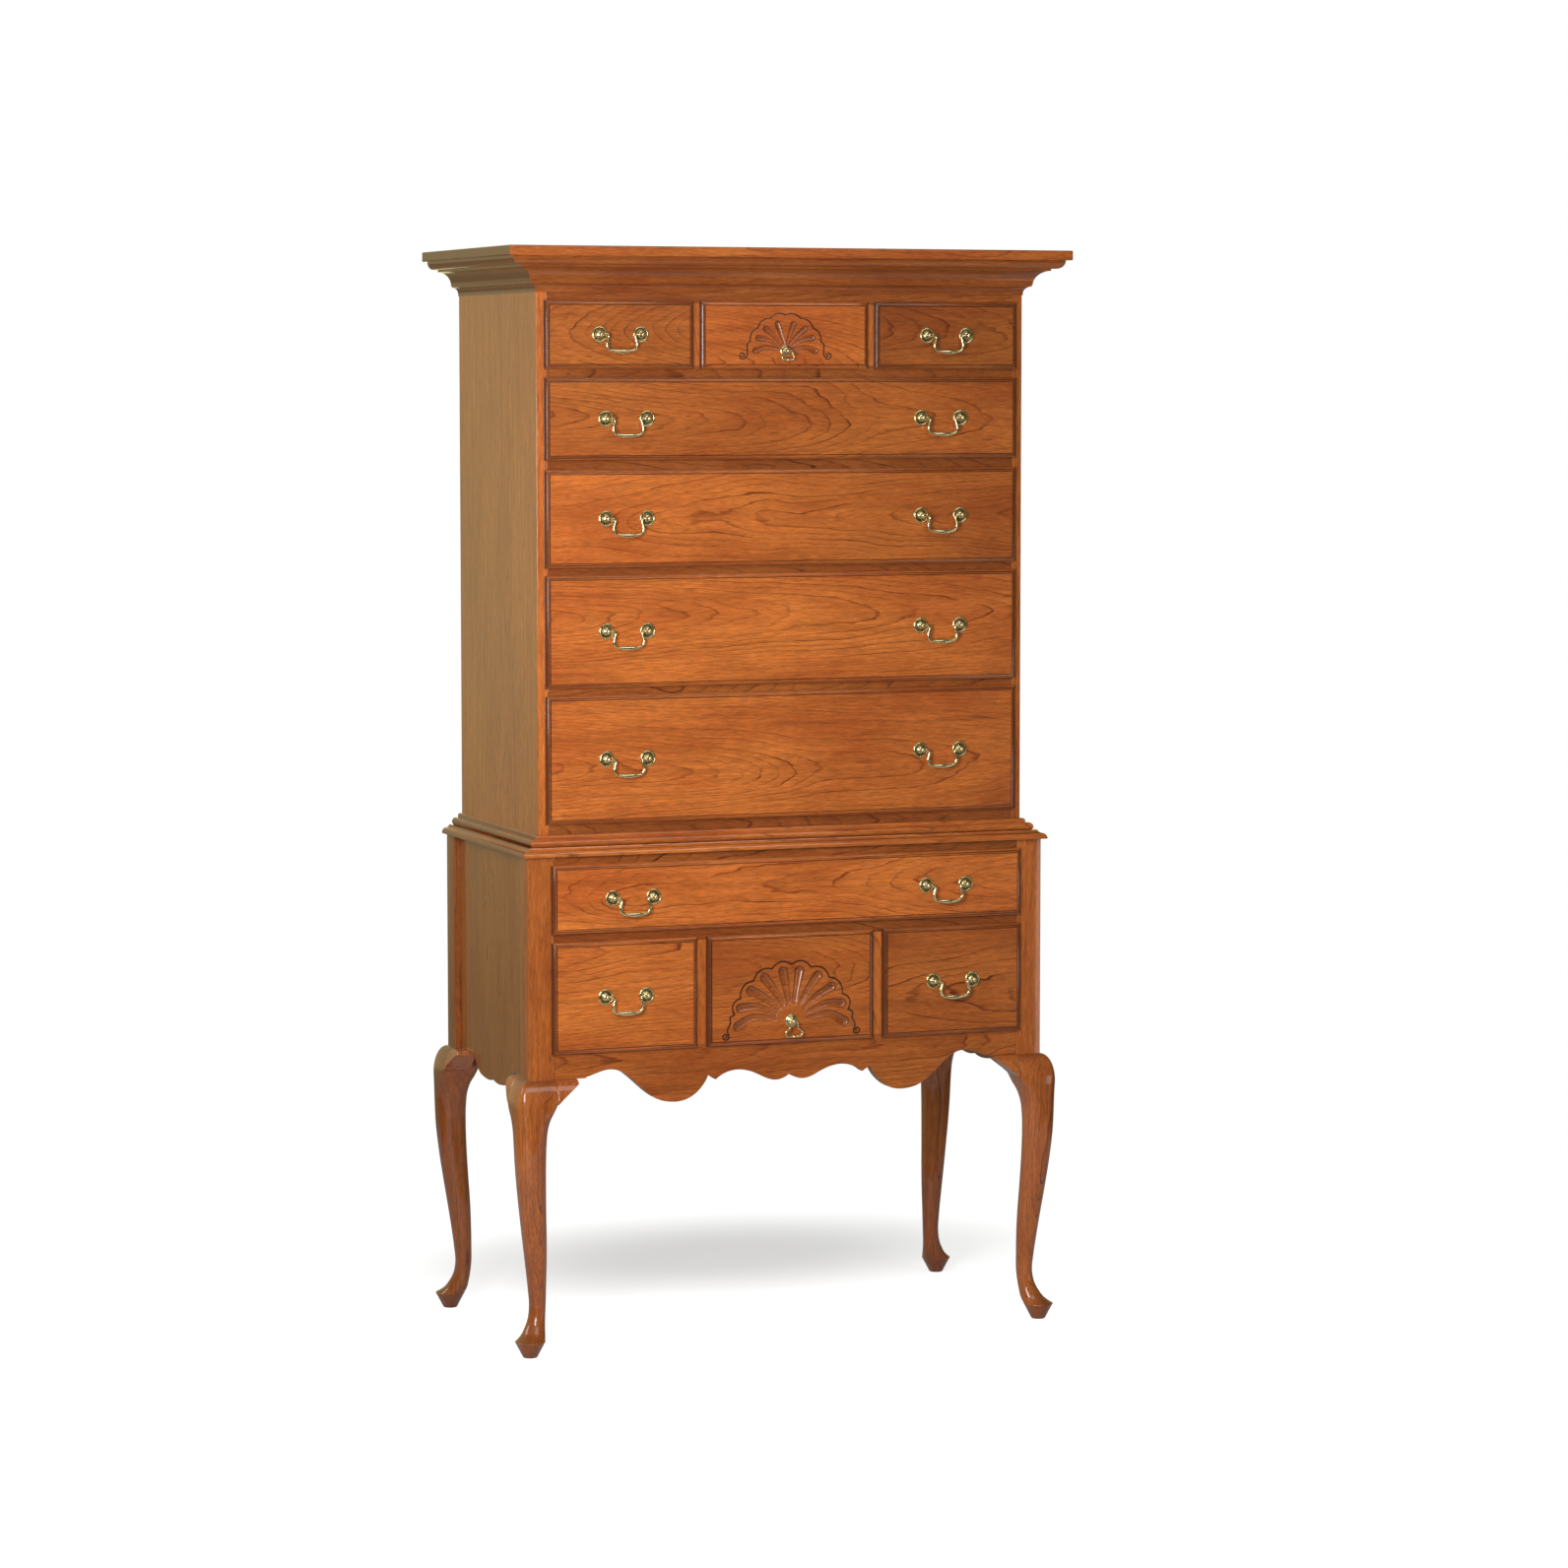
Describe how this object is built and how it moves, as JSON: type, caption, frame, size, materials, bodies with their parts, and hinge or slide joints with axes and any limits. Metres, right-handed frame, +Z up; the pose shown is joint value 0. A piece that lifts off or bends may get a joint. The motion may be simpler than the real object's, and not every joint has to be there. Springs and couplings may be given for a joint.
{
  "type": "highboy",
  "caption": "Tall chest of drawers in two stacked cases on cabriole legs, with lipped drawers, carved shells, a moulded cornice and swinging brass pulls.",
  "frame": {"origin": "on the floor, under the middle of the whole", "axes": "+Z up, the drawers face -Y, +X to the right of someone facing the drawers"},
  "size_m": [1.147, 0.5985, 2.108],
  "materials": {
    "cherry": "satin lacquer",
    "secondary_wood": "bare planed",
    "brass": "polished"
  },
  "bodies": {
    "case": {"cabriole_legs": "cherry", "knee_blocks": "cherry", "lower_case_sides": "cherry", "front_apron": "cherry", "lower_case_rails": "cherry", "waist_moulding": "cherry", "upper_case_sides": "cherry", "upper_case_rails": "cherry", "cornice_moulding": "cherry", "cornice_board": "cherry", "inner_boards": "secondary_wood"},
    "upper_left_drawer": {"upper_left_drawer_front": "cherry", "upper_left_drawer_box": "secondary_wood", "upper_left_drawer_pull_mounts": "brass"},
    "upper_left_drawer_bail": {"upper_left_drawer_bail": "brass"},
    "upper_shell_drawer": {"upper_shell_drawer_front": "cherry", "upper_shell_drawer_box": "secondary_wood", "upper_shell_drawer_pull_mounts": "brass"},
    "upper_shell_drawer_ring": {"upper_shell_drawer_ring": "brass"},
    "upper_right_drawer": {"upper_right_drawer_front": "cherry", "upper_right_drawer_box": "secondary_wood", "upper_right_drawer_pull_mounts": "brass"},
    "upper_right_drawer_bail": {"upper_right_drawer_bail": "brass"},
    "lower_left_drawer": {"lower_left_drawer_front": "cherry", "lower_left_drawer_box": "secondary_wood", "lower_left_drawer_pull_mounts": "brass"},
    "lower_left_drawer_bail": {"lower_left_drawer_bail": "brass"},
    "lower_shell_drawer": {"lower_shell_drawer_front": "cherry", "lower_shell_drawer_box": "secondary_wood", "lower_shell_drawer_pull_mounts": "brass"},
    "lower_shell_drawer_ring": {"lower_shell_drawer_ring": "brass"},
    "lower_right_drawer": {"lower_right_drawer_front": "cherry", "lower_right_drawer_box": "secondary_wood", "lower_right_drawer_pull_mounts": "brass"},
    "lower_right_drawer_bail": {"lower_right_drawer_bail": "brass"},
    "second_drawer": {"second_drawer_front": "cherry", "second_drawer_box": "secondary_wood", "second_drawer_pull_mounts": "brass"},
    "second_drawer_left_bail": {"second_drawer_left_bail": "brass"},
    "second_drawer_right_bail": {"second_drawer_right_bail": "brass"},
    "third_drawer": {"third_drawer_front": "cherry", "third_drawer_box": "secondary_wood", "third_drawer_pull_mounts": "brass"},
    "third_drawer_left_bail": {"third_drawer_left_bail": "brass"},
    "third_drawer_right_bail": {"third_drawer_right_bail": "brass"},
    "fourth_drawer": {"fourth_drawer_front": "cherry", "fourth_drawer_box": "secondary_wood", "fourth_drawer_pull_mounts": "brass"},
    "fourth_drawer_left_bail": {"fourth_drawer_left_bail": "brass"},
    "fourth_drawer_right_bail": {"fourth_drawer_right_bail": "brass"},
    "fifth_drawer": {"fifth_drawer_front": "cherry", "fifth_drawer_box": "secondary_wood", "fifth_drawer_pull_mounts": "brass"},
    "fifth_drawer_left_bail": {"fifth_drawer_left_bail": "brass"},
    "fifth_drawer_right_bail": {"fifth_drawer_right_bail": "brass"},
    "lower_long_drawer": {"lower_long_drawer_front": "cherry", "lower_long_drawer_box": "secondary_wood", "lower_long_drawer_pull_mounts": "brass"},
    "lower_long_drawer_left_bail": {"lower_long_drawer_left_bail": "brass"},
    "lower_long_drawer_right_bail": {"lower_long_drawer_right_bail": "brass"}
  },
  "joints": [
    {"name": "upper_left_drawer_slide", "type": "slide", "parent": "case", "child": "upper_left_drawer", "axis": [0, -1, 0], "range_m": [0, 0.32]},
    {"name": "upper_left_drawer_bail_swing", "type": "hinge", "parent": "upper_left_drawer", "child": "upper_left_drawer_bail", "pos_m": [-0.335, -0.24675, 1.9436], "axis": [-1, 0, 0], "range_deg": [-11.5, 191.5]},
    {"name": "upper_shell_drawer_slide", "type": "slide", "parent": "case", "child": "upper_shell_drawer", "axis": [0, -1, 0], "range_m": [0, 0.32]},
    {"name": "upper_shell_drawer_ring_swing", "type": "hinge", "parent": "upper_shell_drawer", "child": "upper_shell_drawer_ring", "pos_m": [0, -0.24875, 1.913], "axis": [-1, 0, 0], "range_deg": [-34, 214]},
    {"name": "upper_right_drawer_slide", "type": "slide", "parent": "case", "child": "upper_right_drawer", "axis": [0, -1, 0], "range_m": [0, 0.32]},
    {"name": "upper_right_drawer_bail_swing", "type": "hinge", "parent": "upper_right_drawer", "child": "upper_right_drawer_bail", "pos_m": [0.335, -0.24675, 1.9436], "axis": [-1, 0, 0], "range_deg": [-11.5, 191.5]},
    {"name": "lower_left_drawer_slide", "type": "slide", "parent": "case", "child": "lower_left_drawer", "axis": [0, -1, 0], "range_m": [0, 0.32]},
    {"name": "lower_left_drawer_bail_swing", "type": "hinge", "parent": "lower_left_drawer", "child": "lower_left_drawer_bail", "pos_m": [-0.338, -0.27875, 0.68685], "axis": [-1, 0, 0], "range_deg": [-11.5, 191.5]},
    {"name": "lower_shell_drawer_slide", "type": "slide", "parent": "case", "child": "lower_shell_drawer", "axis": [0, -1, 0], "range_m": [0, 0.32]},
    {"name": "lower_shell_drawer_ring_swing", "type": "hinge", "parent": "lower_shell_drawer", "child": "lower_shell_drawer_ring", "pos_m": [0, -0.28075, 0.623], "axis": [-1, 0, 0], "range_deg": [-20, 200]},
    {"name": "lower_right_drawer_slide", "type": "slide", "parent": "case", "child": "lower_right_drawer", "axis": [0, -1, 0], "range_m": [0, 0.32]},
    {"name": "lower_right_drawer_bail_swing", "type": "hinge", "parent": "lower_right_drawer", "child": "lower_right_drawer_bail", "pos_m": [0.338, -0.27875, 0.68685], "axis": [-1, 0, 0], "range_deg": [-11.5, 191.5]},
    {"name": "second_drawer_slide", "type": "slide", "parent": "case", "child": "second_drawer", "axis": [0, -1, 0], "range_m": [0, 0.32]},
    {"name": "second_drawer_left_bail_swing", "type": "hinge", "parent": "second_drawer", "child": "second_drawer_left_bail", "pos_m": [-0.323, -0.24675, 1.7846], "axis": [-1, 0, 0], "range_deg": [-11.5, 191.5]},
    {"name": "second_drawer_right_bail_swing", "type": "hinge", "parent": "second_drawer", "child": "second_drawer_right_bail", "pos_m": [0.323, -0.24675, 1.7846], "axis": [-1, 0, 0], "range_deg": [-11.5, 191.5]},
    {"name": "third_drawer_slide", "type": "slide", "parent": "case", "child": "third_drawer", "axis": [0, -1, 0], "range_m": [0, 0.32]},
    {"name": "third_drawer_left_bail_swing", "type": "hinge", "parent": "third_drawer", "child": "third_drawer_left_bail", "pos_m": [-0.323, -0.24675, 1.5956], "axis": [-1, 0, 0], "range_deg": [-11.5, 191.5]},
    {"name": "third_drawer_right_bail_swing", "type": "hinge", "parent": "third_drawer", "child": "third_drawer_right_bail", "pos_m": [0.323, -0.24675, 1.5956], "axis": [-1, 0, 0], "range_deg": [-11.5, 191.5]},
    {"name": "fourth_drawer_slide", "type": "slide", "parent": "case", "child": "fourth_drawer", "axis": [0, -1, 0], "range_m": [0, 0.32]},
    {"name": "fourth_drawer_left_bail_swing", "type": "hinge", "parent": "fourth_drawer", "child": "fourth_drawer_left_bail", "pos_m": [-0.323, -0.24675, 1.3816], "axis": [-1, 0, 0], "range_deg": [-11.5, 191.5]},
    {"name": "fourth_drawer_right_bail_swing", "type": "hinge", "parent": "fourth_drawer", "child": "fourth_drawer_right_bail", "pos_m": [0.323, -0.24675, 1.3816], "axis": [-1, 0, 0], "range_deg": [-11.5, 191.5]},
    {"name": "fifth_drawer_slide", "type": "slide", "parent": "case", "child": "fifth_drawer", "axis": [0, -1, 0], "range_m": [0, 0.32]},
    {"name": "fifth_drawer_left_bail_swing", "type": "hinge", "parent": "fifth_drawer", "child": "fifth_drawer_left_bail", "pos_m": [-0.323, -0.24675, 1.1381], "axis": [-1, 0, 0], "range_deg": [-11.5, 191.5]},
    {"name": "fifth_drawer_right_bail_swing", "type": "hinge", "parent": "fifth_drawer", "child": "fifth_drawer_right_bail", "pos_m": [0.323, -0.24675, 1.1381], "axis": [-1, 0, 0], "range_deg": [-11.5, 191.5]},
    {"name": "lower_long_drawer_slide", "type": "slide", "parent": "case", "child": "lower_long_drawer", "axis": [0, -1, 0], "range_m": [0, 0.32]},
    {"name": "lower_long_drawer_left_bail_swing", "type": "hinge", "parent": "lower_long_drawer", "child": "lower_long_drawer_left_bail", "pos_m": [-0.323, -0.27875, 0.8756], "axis": [-1, 0, 0], "range_deg": [-11.5, 191.5]},
    {"name": "lower_long_drawer_right_bail_swing", "type": "hinge", "parent": "lower_long_drawer", "child": "lower_long_drawer_right_bail", "pos_m": [0.323, -0.27875, 0.8756], "axis": [-1, 0, 0], "range_deg": [-11.5, 191.5]}
  ]
}
